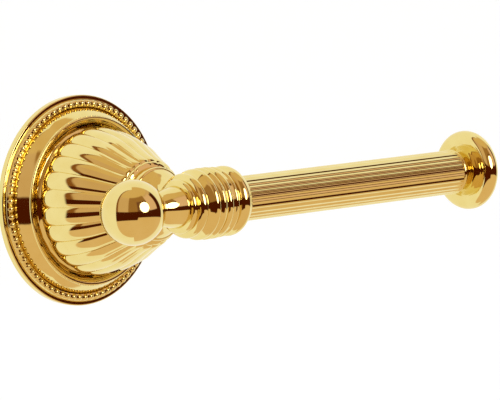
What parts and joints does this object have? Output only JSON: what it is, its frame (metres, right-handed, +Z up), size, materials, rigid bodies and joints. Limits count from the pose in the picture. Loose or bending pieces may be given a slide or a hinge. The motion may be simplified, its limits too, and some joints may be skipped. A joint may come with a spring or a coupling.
{
  "type": "toilet paper holder",
  "caption": "Wall-mounted holder for a toilet roll: a fixed reeded arm with a ball finial and an end disc, on a lobed bell post and a beaded round rosette.",
  "frame": {"origin": "centre of the wall bracket's back face, on the wall plane", "axes": "+Y into the wall, +Z up, +X along the arm towards its free end; the post stands out along -Y"},
  "size_m": [0.1836, 0.0724, 0.075],
  "materials": {
    "gold_plate": "mirror-polished brass with gold plating",
    "raw_brass": "turned, unpolished",
    "zinc_steel": "bright zinc plated",
    "dark_steel": "blackened",
    "nylon": "moulded natural nylon"
  },
  "bodies": {
    "bracket": {"wall_bracket": "zinc_steel"},
    "holder": {"post_socket": "raw_brass", "rosette": "gold_plate", "bead_ring": "gold_plate", "bell": "gold_plate", "post_head": "gold_plate", "post_stud": "zinc_steel", "stud_washer": "zinc_steel", "lock_washer": "zinc_steel", "stud_nut": "zinc_steel", "locating_pin": "zinc_steel", "arm_collar": "gold_plate", "finial_neck": "gold_plate", "ball_finial": "gold_plate", "arm_rod": "zinc_steel", "reeded_bar": "gold_plate", "inner_bush": "nylon", "outer_bush": "nylon", "bar_ferrule": "gold_plate", "end_disc": "gold_plate", "end_cap": "gold_plate"},
    "screw": {"set_screw": "dark_steel"}
  },
  "joints": [
    {"name": "holder_slide_off", "type": "slide", "parent": "bracket", "child": "holder", "axis": [0, -1, 0], "range_m": [0, 0.02]},
    {"name": "set_screw_travel", "type": "slide", "parent": "holder", "child": "screw", "axis": [0, 0, -1], "range_m": [0, 0.003]}
  ]
}
